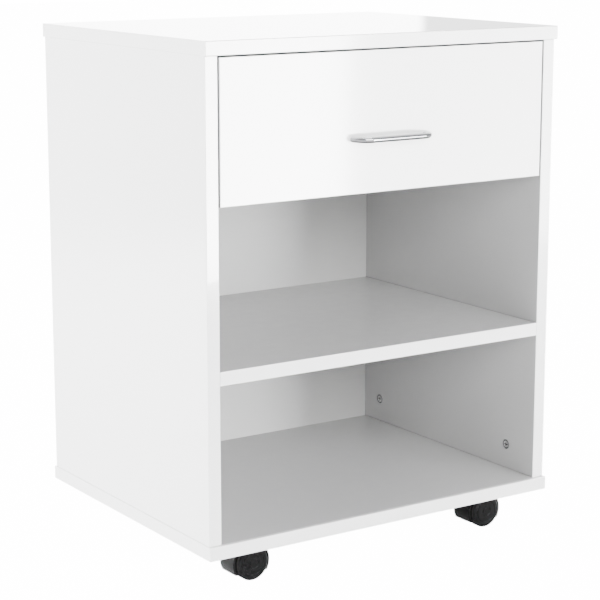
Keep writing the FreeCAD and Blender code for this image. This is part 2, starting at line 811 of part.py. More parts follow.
def drawer_runner(hand_name):
    """The runner on the drawer: a ledge under the side and a rail that rides on the roller."""
    hand = HANDS[hand_name]
    place = (f"{hand} * drawer_half", "drawer_runner_front", "drawer_low - sheet")
    body = new_body(f"{hand_name}_drawer_runner", place)
    section = sketch_on(body, "XZ_Plane")
    ledge = f"-{hand} * drawer_runner_ledge"
    web = f"{hand} * sheet"
    rail = f"{hand} * drawer_runner_width"
    top = "drawer_runner_height"
    corners = [
        (ledge, "0"), (web, "0"), (web, f"{top} - sheet"), (rail, f"{top} - sheet"),
        (rail, top), ("0", top), ("0", "sheet"), (ledge, "sheet"),
    ]
    draw_polygon(section, corners)
    pad(body, section, "runner_length - sheet")
    beyond = f"{hand} * (drawer_runner_width + sheet)"
    start = "runner_length - drawer_runner_notch"
    rout(body, "XY_Plane", f"{top} - 2 * sheet", (web, start), (beyond, "runner_length"), "3 * sheet", 1)
    screws = [(str(along), "drawer_screw_height - drawer_low + sheet") for along in RUNNER_SCREWS["drawer"]]
    drill(body, "YZ_Plane", web, screws, "screw_radius + hole_slack", "sheet", -hand)
    rivet = [("drawer_roller_front - drawer_runner_front", "drawer_roller_height - drawer_low + sheet")]
    drill(body, "YZ_Plane", web, rivet, "rivet_radius + hole_slack", "sheet", -hand)
    return body


def runner_screws(label, centre_x, height, front, places, way):
    """The screws of both runners of one kind, three a side, heads away from the board."""
    body = new_body(label, ("0", front, height))
    for along in places:
        steps = [("screw_head", "screw_head_length"), ("screw_radius", "(sheet + screw_length)")]
        start = f"({centre_x} - {way} * (sheet + screw_head_length))"
        turned_pin(body, "YZ_Plane", (str(along), "0"), start, steps, way)
    mirror(body, "YZ_Plane")
    return body


def cabinet_runner_screws():
    return runner_screws(
        "cabinet_runner_screws",
        "inner_half",
        "cabinet_screw_height",
        "cabinet_runner_front",
        RUNNER_SCREWS["cabinet"],
        1,
    )


def drawer_runner_screws():
    return runner_screws(
        "drawer_runner_screws",
        "drawer_half",
        "drawer_screw_height",
        "drawer_runner_front",
        RUNNER_SCREWS["drawer"],
        -1,
    )


def cabinet_roller_rivets():
    """The pins that the cabinet runners' rollers turn on, with their heads."""
    body = new_body("cabinet_roller_rivets", ("0", "cabinet_roller_front", "cabinet_roller_height"))
    steps = [
        ("rivet_radius", "(sheet + 2 * rivet_slack + roller_width)"),
        ("rivet_head", "rivet_head_length"),
    ]
    turned_pin(body, "YZ_Plane", ("0", "0"), "inner_half", steps, -1)
    mirror(body, "YZ_Plane")
    return body


def drawer_roller_rivets():
    """The pins that the drawer runners' rollers turn on, with their heads."""
    body = new_body("drawer_roller_rivets", ("0", "drawer_roller_front", "drawer_roller_height"))
    steps = [
        ("rivet_radius", "(sheet + 2 * rivet_slack + roller_width)"),
        ("rivet_head", "rivet_head_length"),
    ]
    turned_pin(body, "YZ_Plane", ("0", "0"), "drawer_half", steps)
    mirror(body, "YZ_Plane")
    return body


def roller(label, near_face, front, height, way):
    """A nylon roller with a raised rim at each side, its bore running on a rivet."""
    centre = f"{near_face} + {way} * (sheet + rivet_slack + roller_width / 2)"
    body = new_body(label, (centre, front, height))
    sketch = sketch_on(body, "YZ_Plane", "-roller_width / 2")
    draw_circles(sketch, [("0", "0")], "roller_radius")
    draw_circles(sketch, [("0", "0")], "rivet_radius + hole_slack")
    wheel = pad(body, sketch, "roller_width")
    rim = lambda edge: edge.Closed and edge.Length > SIZES["roller_radius"] * math.pi
    round_edges(body, wheel, "roller_rim", rim)
    return body


def cabinet_roller(hand_name):
    hand = HANDS[hand_name]
    return roller(
        f"{hand_name}_cabinet_roller",
        f"{hand} * inner_half",
        "cabinet_roller_front",
        "cabinet_roller_height",
        -hand,
    )


def drawer_roller(hand_name):
    hand = HANDS[hand_name]
    return roller(
        f"{hand_name}_drawer_roller",
        f"{hand} * drawer_half",
        "drawer_roller_front",
        "drawer_roller_height",
        hand,
    )


# ---- casters ----

def caster_place(corner, trail="0", height="0"):
    """A point of one caster, trail in front of its swivel axis and height off the floor."""
    i, j = CORNERS[corner]
    return (f"{i} * caster_x + {trail}", f"panel_mid + {j} * caster_y", height)


def caster_plate(corner):
    """The square steel plate under the bottom panel."""
    body = new_body(f"{corner}_caster_plate", caster_place(corner, height="carcass_low - plate_board"))
    sketch = sketch_on(body, "XY_Plane")
    half = "plate_side / 2"
    draw_rectangle(sketch, (f"-{half}", f"-{half}"), (half, half))
    plate = pad(body, sketch, "plate_board")
    upright = lambda edge: abs(edge.tangentAt(edge.FirstParameter).z) > 0.9
    round_edges(body, plate, "plate_corner", upright)
    holes = pairs("plate_screw_reach", "plate_screw_reach")
    drill(body, "XY_Plane", "0", holes, "plate_screw_hole", "plate_board", 1)
    drill(body, "XY_Plane", "0", [("0", "0")], "kingpin_radius + hole_slack", "plate_board", 1)
    return body


def kingpin(corner):
    """The pin that the caster swivels on, with a flange under the plate."""
    body = new_body(f"{corner}_kingpin", caster_place(corner))
    shank = "(carcass_low - plate_board - kingpin_flange_length - kingpin_low)"
    steps = [
        ("kingpin_radius", shank),
        ("kingpin_flange", "kingpin_flange_length"),
        ("kingpin_radius", "plate_board"),
    ]
    turned_pin(body, "XY_Plane", ("0", "0"), "kingpin_low", steps)
    return body


def caster_screws():
    """Four screws for each caster plate."""
    body = new_body("caster_screws", ("0", "panel_mid", "0"))
    steps = [
        ("caster_screw_head", "caster_screw_head_length"),
        ("screw_radius", "(plate_board + caster_screw_length)"),
    ]
    start = "(carcass_low - plate_board - caster_screw_head_length)"
    for i, j in CORNERS.values():
        centre = (f"caster_x + {i} * plate_screw_reach", f"caster_y + {j} * plate_screw_reach")
        turned_pin(body, "XY_Plane", centre, start, steps)
        cross_recess(body, "XY_Plane", start, centre, 1)
    mirror(body, "YZ_Plane", "XZ_Plane")
    return body


def hood(corner):
    """The caster's body: a rounded hood over both wheels, a web between them and a neck."""
    body = new_body(f"{corner}_caster_hood", caster_place(corner))
    axle = ("trail", "wheel_radius")
    drum = sketch_on(body, "XZ_Plane")
    draw_circles(drum, [axle], "hood_radius")
    cover = pad(body, drum, "2 * hood_half", 0)
    round_edges(body, cover, "hood_round", lambda edge: edge.Closed)
    for way in (-1, 1):
        recess = sketch_on(body, "XZ_Plane", f"{way} * web_half")
        draw_circles(recess, [axle], "hood_inner")
        pocket(body, recess, "hood_half", way)
    under = sketch_on(body, "XZ_Plane")
    wide = "2 * hood_radius"
    draw_rectangle(under, (f"trail - {wide}", "-hood_radius"), (f"trail + {wide}", "hood_low"))
    pocket(body, under, "4 * hood_half", 0)
    neck_steps = [("neck_radius", f"({NECK_TOP} - neck_low)")]
    turned_pin(body, "XY_Plane", ("0", "0"), "neck_low", neck_steps)
    turned_pin(body, "XY_Plane", ("0", "0"), "socket_low", [("socket_radius", "(neck_low - socket_low)")])
    depth = f"{NECK_TOP} - kingpin_low + swivel_gap"
    drill(body, "XY_Plane", NECK_TOP, [("0", "0")], "kingpin_radius + hole_slack", depth, -1)
    drill(body, "XZ_Plane", "-web_half", [axle], "caster_axle + hole_slack / 2", "2 * web_half", 1)
    return body


def caster_axle(corner):
    """The steel axle through the hood's web, with a wheel on each end."""
    body = new_body(f"{corner}_caster_axle", caster_place(corner, "trail", "wheel_radius"))
    sketch = sketch_on(body, "XZ_Plane")
    draw_circles(sketch, [("0", "0")], "caster_axle")
    pad(body, sketch, "2 * caster_axle_half", 0)
    return body


def caster_wheel(corner, face):
    """One hollow wheel: tread, domed face with a ring, dished back and a blind hub."""
    turn = {"front": 0, "back": 180}[face]
    place = caster_place(corner, "trail", "wheel_radius")
    body = new_body(f"{corner}_caster_{face}_wheel", place, turn)
    bore = "caster_axle + hole_slack"
    end = "-caster_axle_half - end_slack"
    outline = [
        ("0", end),
        (bore, end),
        (bore, "-wheel_inner"),
        ("wheel_hub", "-wheel_inner"),
        ("wheel_hub", "-wheel_dish_depth"),
        ("wheel_dish_radius", "-wheel_dish_depth"),
        ("wheel_dish_radius", "-wheel_inner"),
        ("wheel_radius - wheel_ring_depth", "-wheel_inner"),
        ("wheel_radius", "-wheel_inner - wheel_ring_depth"),
        ("wheel_radius", "-wheel_shoulder"),
        ("wheel_radius - wheel_crown_inset", "-wheel_crown"),
        ("wheel_ring_radius + wheel_ring_width", "-wheel_face + wheel_ring_depth"),
        ("wheel_ring_radius + wheel_ring_width / 2", "-wheel_face + 2 * wheel_ring_depth"),
        ("wheel_ring_radius", "-wheel_face + wheel_ring_depth"),
        ("0", "-wheel_face"),
    ]
    revolve(body, outline)
    return body


# ---- build, test and write ----

def sub_parts():
    """Every sub-part, in the order in which the cabinet goes together."""
    parts = [top_panel(), bottom_panel(), back_panel(), middle_shelf()]
    parts += [side_cam_locks(), side_cam_bolts(), side_dowels()]
    parts += [shelf_cam_locks(), shelf_cam_bolts(), shelf_dowels()]
    parts += [drawer_front(), drawer_back(), drawer_bottom()]
    parts += [drawer_cam_locks(), drawer_cam_bolts(), drawer_back_screws()]
    parts += [drawer_handle(), handle_screws()]
    parts += [cabinet_runner_screws(), drawer_runner_screws()]
    parts += [cabinet_roller_rivets(), drawer_roller_rivets(), caster_screws()]
    for hand_name in HANDS:
        parts += [side_panel(hand_name), drawer_side(hand_name)]
        parts += [cabinet_runner(hand_name), drawer_runner(hand_name)]
        parts += [cabinet_roller(hand_name), drawer_roller(hand_name)]
    for corner in CORNERS:
        parts += [caster_plate(corner), kingpin(corner), hood(corner), caster_axle(corner)]
        parts += [caster_wheel(corner, "front"), caster_wheel(corner, "back")]
    return parts


def check_document():
    """Stops on a failed object, or on a cut that removed nothing."""
    for item in doc.Objects:
        if "Invalid" in item.State or "Error" in item.State:
            raise RuntimeError(f"{item.Label} is {item.State}")
        if item.TypeId == "PartDesign::Pocket":
            if item.Shape.Volume >= item.BaseFeature.Shape.Volume - 0.01:
                raise RuntimeError(f"{item.Label} cuts nothing")


def write_parts(parts):
    for part in parts:
        shape = part.Shape
        if shape.isNull() or not shape.isValid():
            raise RuntimeError(f"{part.Label} has no valid shape")
    os.makedirs("parts", exist_ok=True)
    for part in parts:
        part.Shape.exportStep(f"parts/{part.Label}.step")


fill_sheet()
finished = sub_parts()
doc.recompute()
check_document()
write_parts(finished)
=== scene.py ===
import json
import math

import bmesh
import bpy
from mathutils import Matrix, Vector


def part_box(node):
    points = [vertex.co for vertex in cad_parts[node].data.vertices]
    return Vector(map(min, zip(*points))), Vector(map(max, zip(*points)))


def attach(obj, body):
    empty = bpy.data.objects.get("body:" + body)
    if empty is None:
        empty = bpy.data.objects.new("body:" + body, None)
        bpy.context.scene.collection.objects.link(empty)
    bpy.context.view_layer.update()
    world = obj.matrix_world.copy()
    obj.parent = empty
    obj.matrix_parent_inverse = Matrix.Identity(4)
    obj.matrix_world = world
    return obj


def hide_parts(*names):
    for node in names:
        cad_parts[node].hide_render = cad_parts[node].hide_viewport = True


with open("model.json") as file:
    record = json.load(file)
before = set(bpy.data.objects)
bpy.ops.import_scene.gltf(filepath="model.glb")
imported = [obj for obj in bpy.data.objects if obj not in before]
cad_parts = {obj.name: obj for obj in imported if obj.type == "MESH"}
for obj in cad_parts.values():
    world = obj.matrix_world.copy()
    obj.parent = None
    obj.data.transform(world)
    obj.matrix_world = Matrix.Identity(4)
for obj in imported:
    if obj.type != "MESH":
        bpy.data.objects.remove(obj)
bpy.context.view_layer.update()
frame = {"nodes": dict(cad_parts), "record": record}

NODES = frame["nodes"]
BODIES = frame["record"]["behaviour"]["bodies"]
BODY_OF = {node: body for body, nodes in BODIES.items() for node in nodes}
SLOT_OF = {row["node"]: row["material_slot"] for row in frame["record"]["subparts"]}
CORNERS = ("front_left", "front_right", "back_left", "back_right")
HANDS = ("left", "right")
MM = 0.001
X_AXIS, Y_AXIS, Z_AXIS = Vector((1, 0, 0)), Vector((0, 1, 0)), Vector((0, 0, 1))


# ---- camera, light and floor ----

# place in metres, angles in degrees (yaw to the right of +Y, pitch up), lens and sensor in mm
CAMERA_PLACE = (-1.184, -1.764, 0.715)
CAMERA_YAW = 33.82
CAMERA_PITCH = -11.74
CAMERA_LENS = 112.2
SENSOR_WIDTH = 36.0

# the radiance that the camera sees as pure white, and what every other ray meets instead
SEEN_WHITE = 17.0
WORLD_GLOW = 1.0
WORLD_COLOUR = (0.985, 0.99, 1.0)
FLOOR_HALF = 12.0
FLOOR_DROP = 0.2 * MM
FLOOR_COLOUR = (0.85, 0.85, 0.85)
FLOOR_ROUGHNESS = 0.9
# how much of the floor is pure white to the camera
FLOOR_MELT = 0.9
SOFTBOXES = (
    # name, place, the point it faces, width and height, radiance
    ("left_softbox", (-1.7, 0.75, 0.95), (0, 0.1, 0.35), (1.7, 1.7), 21.0),
    ("top_softbox", (0.1, 0.35, 2.3), (0, 0.1, 0.5), (1.6, 1.2), 6.0),
    ("front_softbox", (-0.4, -2.7, 1.5), (0, 0, 0.3), (2.4, 1.1), 17.0),
)
CARDS = (
    # name, y, reach in x, reach in z, radiance at the left and right, where it changes in x
    ("front_card", -1.67, (0.595, 1.77), (0.0, 0.52), (72.0, 24.0), (0.965, 1.05)),
    ("back_card", 2.5, (0.5, 3.19), (0.525, 1.275), (10.0, 2.2), (2.068, 2.115)),
)


def map_range(tree, value, numbers, kind="LINEAR"):
    """Carries value from between the first two numbers to between the last two."""
    node = tree.nodes.new("ShaderNodeMapRange")
    node.interpolation_type = kind
    for slot, number in zip((1, 2, 3, 4), numbers):
        node.inputs[slot].default_value = number
    tree.links.new(value, node.inputs[0])
    return node.outputs[0]


def show_by_ray(tree, share, other, seen, output):
    """Shows one shader to the camera, by the given share, and the other to every other ray."""
    mixer = tree.nodes.new("ShaderNodeMixShader")
    tree.links.new(share, mixer.inputs["Fac"])
    tree.links.new(other.outputs[0], mixer.inputs[1])
    tree.links.new(seen.outputs[0], mixer.inputs[2])
    tree.links.new(mixer.outputs[0], output.inputs["Surface"])


def add_camera():
    """The photographer's view: from the front left, a little above the top."""
    camera = bpy.data.cameras.new("camera")
    camera.lens = CAMERA_LENS
    camera.sensor_width = SENSOR_WIDTH
    holder = bpy.data.objects.new("camera", camera)
    holder.location = CAMERA_PLACE
    holder.rotation_euler = (math.radians(90 + CAMERA_PITCH), 0, math.radians(-CAMERA_YAW))
    bpy.context.scene.collection.objects.link(holder)
    bpy.context.scene.camera = holder


def add_world():
    """An even white studio: pure white to the camera, a soft grey-white to everything else."""
    world = bpy.data.worlds.new("studio")
    world.use_nodes = True
    bpy.context.scene.world = world
    tree = world.node_tree
    tree.nodes.clear()
    output = tree.nodes.new("ShaderNodeOutputWorld")
    backgrounds = []
    for colour, strength in ((WORLD_COLOUR, WORLD_GLOW), ((1, 1, 1), SEEN_WHITE)):
        background = tree.nodes.new("ShaderNodeBackground")
        background.inputs["Color"].default_value = (*colour, 1)
        background.inputs["Strength"].default_value = strength
        backgrounds.append(background)
    path = tree.nodes.new("ShaderNodeLightPath")
    show_by_ray(tree, path.outputs["Is Camera Ray"], *backgrounds, output)


def add_softbox(name, place, target, size, radiance):
    """A rectangular soft light at place that faces target, as bright as radiance all over."""
    light = bpy.data.lights.new(name, "AREA")
    light.shape = "RECTANGLE"
    light.size, light.size_y = size
    light.energy = radiance * math.pi * size[0] * size[1]
    holder = bpy.data.objects.new(name, light)
    holder.location = place
    aim = Vector(target) - Vector(place)
    holder.rotation_euler = aim.to_track_quat("-Z", "Y").to_euler()
    holder.visible_camera = False
    bpy.context.scene.collection.objects.link(holder)
    return light


def add_card(name, y, span, levels, radiances, fade):
    """An upright card facing the cabinet, for the gloss to mirror.

    It reaches over span in x and levels in z, and its light changes smoothly from the first of
    radiances to the second between the two x places in fade.
    """
    x, z = sum(span) / 2, sum(levels) / 2
    size = (span[1] - span[0], levels[1] - levels[0])
    light = add_softbox(name, (x, y, z), (x, 0, z), size, 1.0)
    light.use_nodes = True
    tree = light.node_tree
    place = tree.nodes.new("ShaderNodeNewGeometry").outputs["Position"]
    split = tree.nodes.new("ShaderNodeSeparateXYZ")
    tree.links.new(place, split.inputs[0])
    across = map_range(tree, split.outputs["X"], (*fade, *radiances), "SMOOTHSTEP")
    tree.links.new(across, tree.nodes["Emission"].inputs["Strength"])


def add_lights():
    """Big soft lights left, above and in front, and the two cards."""
    for row in SOFTBOXES:
        add_softbox(*row)
    for row in CARDS:
        add_card(*row)


def add_floor():
    """A plain pale floor that melts into the white background."""
    mesh = bpy.data.meshes.new("floor")
    shape = bmesh.new()
    bmesh.ops.create_grid(shape, x_segments=1, y_segments=1, size=FLOOR_HALF)
    shape.to_mesh(mesh)
    shape.free()
    floor = bpy.data.objects.new("floor", mesh)
    floor.location.z = -FLOOR_DROP
    bpy.context.scene.collection.objects.link(floor)
    paint = bpy.data.materials.new("floor_paint")
    paint.use_nodes = True
    tree = paint.node_tree
    shader = tree.nodes["Principled BSDF"]
    shader.inputs["Base Color"].default_value = (*FLOOR_COLOUR, 1)
    shader.inputs["Roughness"].default_value = FLOOR_ROUGHNESS
    glow = tree.nodes.new("ShaderNodeEmission")
    glow.inputs["Strength"].default_value = SEEN_WHITE
    path = tree.nodes.new("ShaderNodeLightPath")
    share = tree.nodes.new("ShaderNodeMath")
    share.operation = "MULTIPLY"
    share.inputs[1].default_value = FLOOR_MELT
    tree.links.new(path.outputs["Is Camera Ray"], share.inputs[0])
    show_by_ray(tree, share.outputs[0], shader, glow, tree.nodes["Material Output"])
    mesh.materials.append(paint)


# ---- material kit ----

# noise seldom leaves this span; PATCHES leaves out its lower part, so that it comes in patches
NOISE_SPAN = (0.3, 0.7)
PATCHES = (0.4, 0.7)
# rays that each occlusion or bevel node sends out
NODE_SAMPLES = 4


class Paint:
    """A node material around one Principled shader, with procedural variation by position."""

    def __init__(self, name, colour, roughness, metallic=0.0):
        self.material = bpy.data.materials.new(name)
        self.material.use_nodes = True
        self.tree = self.material.node_tree
        self.nodes = self.tree.nodes
        self.shader = self.nodes["Principled BSDF"]
        self.fix("Base Color", (*colour, 1))
        self.fix("Roughness", roughness)
        self.fix("Metallic", metallic)
        self.place = self.nodes.new("ShaderNodeTexCoord").outputs["Object"]
        self.height = None

    def fix(self, socket, value):
        """Sets what is the same all over the surface."""
        self.shader.inputs[socket].default_value = value

    def link(self, output, target):
        """Joins an output to a socket; a name means that socket of the shader."""
        socket = self.shader.inputs[target] if isinstance(target, str) else target
        self.tree.links.new(output, socket)

    def noise(self, scale, detail, stretch=(1, 1, 1)):
        """Noise whose scale is in cycles per metre, stretched along the axes."""
        mapping = self.nodes.new("ShaderNodeMapping")
        mapping.inputs["Scale"].default_value = stretch
        self.link(self.place, mapping.inputs["Vector"])
        texture = self.nodes.new("ShaderNodeTexNoise")
        texture.inputs["Scale"].default_value = scale
        texture.inputs["Detail"].default_value = detail
        self.link(mapping.outputs[0], texture.inputs["Vector"])
        return texture.outputs["Fac"]

    def remap(self, value, from_low, from_high, to_low, to_high):
        """Carries value from one span to another, and holds it there."""
        return map_range(self.tree, value, (from_low, from_high, to_low, to_high))

    def vary(self, low, high, scale, detail, stretch=(1, 1, 1), span=NOISE_SPAN):
        """A number that wanders from low to high over the surface."""
        return self.remap(self.noise(scale, detail, stretch), *span, low, high)

    def blend(self, factor, first, second):
        """A colour between first and second; each is a colour or another node's output."""
        node = self.nodes.new("ShaderNodeMix")
        node.data_type = "RGBA"
        self.link(factor, node.inputs[0])
        for socket, colour in ((node.inputs[6], first), (node.inputs[7], second)):
            if isinstance(colour, tuple):
                socket.default_value = (*colour, 1)
            else:
                self.link(colour, socket)
        return node.outputs[2]

    def choose(self, factor, first, second):
        """A number between two other nodes' numbers."""
        node = self.nodes.new("ShaderNodeMix")
        for socket, output in zip(node.inputs[:1] + node.inputs[2:4], (factor, first, second)):
            self.link(output, socket)
        return node.outputs[0]

    def reckon(self, kind, first, second):
        """A Math node's result; each of its two sides is a number or another node's output."""
        node = self.nodes.new("ShaderNodeMath")
        node.operation = kind
        for socket, value in zip(node.inputs, (first, second)):
            if isinstance(value, (int, float)):
                socket.default_value = value
            else:
                self.link(value, socket)
        return node.outputs[0]

    def within(self, low, high):
        """1 inside the box from low to high and 0 outside it."""
        split = self.nodes.new("ShaderNodeSeparateXYZ")
        self.link(self.place, split.inputs[0])
        inside = None
        for output, bottom, top in zip(split.outputs, low, high):
            above = self.reckon("GREATER_THAN", output, bottom)
            both = self.reckon("MULTIPLY", above, self.reckon("LESS_THAN", output, top))
            inside = both if inside is None else self.reckon("MULTIPLY", inside, both)
        return inside

    def bump(self, height, strength, distance):
        """Adds a layer of bump; distance is its height in metres."""
        node = self.nodes.new("ShaderNodeBump")
        node.inputs["Strength"].default_value = strength
        node.inputs["Distance"].default_value = distance
        self.link(height, node.inputs["Height"])
        if self.height is not None:
            self.link(self.height, node.inputs["Normal"])
        self.height = node.outputs[0]
        self.link(self.height, "Normal")

    def openness(self, reach):
        """1 on open faces, about a half at an inner corner and near 0 deep in a gap."""
        node = self.nodes.new("ShaderNodeAmbientOcclusion")
        node.samples = NODE_SAMPLES
        node.inputs["Distance"].default_value = reach
        return node.outputs["AO"]

    def normal(self):
        """The surface's own normal, without bump."""
        return self.nodes.new("ShaderNodeNewGeometry").outputs["Normal"]

    def rise(self):
        """1 on faces that look up, 0 on upright faces and -1 on faces that look down."""
        split = self.nodes.new("ShaderNodeSeparateXYZ")
        self.link(self.normal(), split.inputs[0])
        return split.outputs["Z"]

    def edges(self, width):
        """1 on faces and less within width of a sharp edge."""
        bevel = self.nodes.new("ShaderNodeBevel")
        bevel.samples = NODE_SAMPLES
        bevel.inputs["Radius"].default_value = width
        dot = self.nodes.new("ShaderNodeVectorMath")
        dot.operation = "DOT_PRODUCT"
        self.link(bevel.outputs[0], dot.inputs[0])
        self.link(self.normal(), dot.inputs[1])
        return dot.outputs["Value"]

    def from_axle(self):
        """The distance from the Y axis of the object, as a wheel's is its axle."""
        flat = self.nodes.new("ShaderNodeVectorMath")
        flat.operation = "MULTIPLY"
        flat.inputs[1].default_value = (1, 0, 1)
        self.link(self.place, flat.inputs[0])
        length = self.nodes.new("ShaderNodeVectorMath")
        length.operation = "LENGTH"
        self.link(flat.outputs[0], length.inputs[0])
        return length.outputs["Value"]


# ---- finishes ----

# how far inside_box reaches into the boards, and how far back from their front edges it starts
BOX_SLACK = 0.2 * MM
EDGE_BAND = 1.0 * MM
COAT_OUTSIDE = 0.9
# painted shade: a gap between boards is painted dark where it is this narrow and this closed
GAP_WIDTH = 5 * MM
GAP_OPENNESS = (0.12, 0.42)
GAP_SHADE_COLOUR = (0.06, 0.06, 0.06)
# how far up the handle's faces look where its painted dark underside shade and its painted bright
# crown highlight begin and end
SHADED_UNDERSIDE_RISE = (-0.5, -0.1)
HIGHLIT_CROWN_RISE = (0.45, 0.7)
BLACK = (0.003, 0.003, 0.0033)
BLACK_CLOUD = ((0.002, 0.002, 0.0022), (0.004, 0.004, 0.0043))
SCUFF_WIDTH = 0.8 * MM
# from a worn edge to an unworn face, as edges() measures them
SCUFF_SHARPNESS = (0.9, 1.0)
# from the shiny face of a wheel to its tread, as distances from the axle
TREAD_START, TREAD_END = 18.8 * MM, 19.8 * MM


def inside_box():
    """The room inside the carcass, with the boards' inner faces and without their front edges."""
    # inside this box the white foil's colour is painted grey as shade, and it gets a satin
    # roughness
    slack = Vector((1, 1, 1)) * BOX_SLACK
    low = Vector(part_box("left_side_panel")[0]) + EDGE_BAND * Y_AXIS
    low.x, low.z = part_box("left_side_panel")[1].x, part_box("bottom_panel")[1].z
    high = Vector(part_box("top_panel")[1])
    high.x, high.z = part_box("right_side_panel")[0].x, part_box("top_panel")[0].z
    return low - slack, high + slack


def gloss_board_paint():
    """White foil: high gloss outside; satin inside the carcass, where its colour is painted grey as
    shade, and painted darker still as shade in its narrow gaps.
    """
    paint = Paint("white_gloss_foil", (0.83, 0.83, 0.83), 0.12)
    paint.fix("Coat Roughness", 0.03)
    paint.fix("IOR", 1.52)
    inside = paint.within(*inside_box())
    gloss = paint.blend(paint.noise(5.0, 2.0), (0.825, 0.827, 0.83), (0.842, 0.842, 0.84))
    # painted shade: inside the carcass the white foil is given a grey about half as bright as
    # outside, for the shade that falls there
    shade_painted_inside = paint.blend(paint.noise(7.0, 3.0), (0.44, 0.44, 0.443), (0.461, 0.459, 0.457))
    # painted shade: where the occlusion node finds a narrow closed gap between boards, the colour
    # is painted near black
    open_space = paint.remap(paint.openness(GAP_WIDTH), *GAP_OPENNESS, 0.0, 1.0)
    paint.link(paint.blend(inside, gloss, paint.blend(open_space, GAP_SHADE_COLOUR, shade_painted_inside)), "Base Color")
    shine = paint.vary(0.09, 0.14, 40.0, 4.0)
    sheen = paint.vary(0.19, 0.25, 60.0, 3.0)
    paint.link(paint.choose(inside, shine, sheen), "Roughness")
    paint.link(paint.remap(inside, 0.0, 1.0, COAT_OUTSIDE, 0.0), "Coat Weight")
    paint.bump(paint.noise(18.0, 1.0), 0.2, 0.05 * MM)
    paint.bump(paint.noise(210.0, 1.0), 0.08, 0.01 * MM)
    return paint.material


def satin_board_paint():
    """White melamine inside the drawer: a fine pore and a soft sheen."""
    paint = Paint("white_satin_melamine", (0.8, 0.8, 0.79), 0.38)
    cloud = paint.blend(paint.noise(9.0, 3.0), (0.785, 0.785, 0.775), (0.81, 0.81, 0.805))
    paint.link(cloud, "Base Color")
    paint.link(paint.vary(0.33, 0.45, 120.0, 4.0), "Roughness")
    paint.bump(paint.noise(1400.0, 2.0), 0.35, 0.02 * MM)
    return paint.material


def thin_board_paint():
    """Thin hardboard with a white face: fine pressed fibres beneath a satin skin; its colour is set
    to a mid grey, well below white, as painted shade inside the carcass.
    """
    # painted shade: the white face is given a mid grey colour, for the shade inside the carcass
    paint = Paint("hardboard_grey_as_shade", (0.56, 0.56, 0.55), 0.55)
    paint.fix("Specular IOR Level", 0.3)
    fibres = paint.noise(110.0, 3.0, (1, 1, 4))
    paint.link(paint.blend(fibres, (0.55, 0.55, 0.545), (0.575, 0.575, 0.57)), "Base Color")
    paint.link(paint.vary(0.5, 0.62, 60.0, 4.0), "Roughness")
    paint.bump(paint.noise(160.0, 2.0, (1, 1, 3)), 0.15, 0.02 * MM)
    return paint.material


def chrome_paint():
    """Polished chrome with the faintest haze and polishing waves; its colour is painted dark on its
    underside as shade and bright on its crown as a highlight, by which way each face looks.
    """
    paint = Paint("polished_chrome", (0.5, 0.505, 0.515), 0.05, 1.0)
    cloud = paint.noise(90.0, 3.0)
    underside_shade = paint.blend(cloud, (0.04, 0.041, 0.043), (0.07, 0.071, 0.074))
    middle_band = paint.blend(cloud, (0.33, 0.335, 0.345), (0.42, 0.425, 0.43))
    crown_highlight = paint.blend(cloud, (0.72, 0.725, 0.735), (0.84, 0.845, 0.85))
    # painted light and shade: faces that look down are painted dark, faces that look up are painted
    # bright
    rise = paint.rise()
    sides = paint.blend(paint.remap(rise, *SHADED_UNDERSIDE_RISE, 0.0, 1.0), underside_shade, middle_band)
    whole = paint.blend(paint.remap(rise, *HIGHLIT_CROWN_RISE, 0.0, 1.0), sides, crown_highlight)
    paint.link(whole, "Base Color")
    paint.link(paint.vary(0.03, 0.09, 500.0, 4.0), "Roughness")
    paint.bump(paint.noise(160.0, 1.0), 0.1, 0.02 * MM)
    return paint.material


def steel_paint(name, light, dark, low, high):
    """Zinc-plated steel: cloudy plating, fine drawn lines and a roughness from low to high."""
    paint = Paint(name, light, low, 1.0)
    paint.link(paint.blend(paint.noise(180.0, 5.0), dark, light), "Base Color")
    paint.link(paint.vary(low, high, 900.0, 4.0, (1, 1, 8)), "Roughness")
    paint.bump(paint.noise(1600.0, 3.0), 0.2, 0.01 * MM)
    return paint.material


def zinc_paint(name, dark, light):
    """Die-cast zinc: dull grey metal with casting grain."""
    paint = Paint(name, light, 0.4, 1.0)
    grain = paint.noise(900.0, 5.0)
    paint.link(paint.blend(grain, dark, light), "Base Color")
    paint.link(paint.remap(grain, *NOISE_SPAN, 0.32, 0.5), "Roughness")
    paint.bump(grain, 0.4, 0.03 * MM)
    return paint.material


def enamel_paint():
    """White powder coat with its usual orange peel."""
    paint = Paint("white_powder_coat", (0.8, 0.8, 0.79), 0.3)
    cloud = paint.blend(paint.noise(30.0, 3.0), (0.78, 0.78, 0.77), (0.815, 0.815, 0.81))
    paint.link(cloud, "Base Color")
    paint.link(paint.vary(0.24, 0.38, 300.0, 3.0), "Roughness")
    paint.bump(paint.noise(700.0, 1.5), 0.5, 0.04 * MM)
    return paint.material


def nylon_paint():
    """Natural white nylon, a little yellow and waxy."""
    paint = Paint("white_nylon", (0.78, 0.77, 0.73), 0.42)
    paint.fix("Subsurface Weight", 0.15)
    paint.fix("Subsurface Scale", 2 * MM)
    cloud = paint.blend(paint.noise(200.0, 3.0), (0.75, 0.74, 0.7), (0.81, 0.8, 0.765))
    paint.link(cloud, "Base Color")
    paint.link(paint.vary(0.36, 0.5, 800.0, 3.0), "Roughness")
    paint.bump(paint.noise(1200.0, 2.0), 0.25, 0.02 * MM)
    return paint.material


def black_nylon(name, cloud_scale):
    """Glossy black moulded nylon, and its cloudy colour for wear to be mixed into."""
    paint = Paint(name, BLACK, 0.2)
    paint.fix("Specular IOR Level", 0.1)
    return paint, paint.blend(paint.noise(cloud_scale, 4.0), *BLACK_CLOUD)


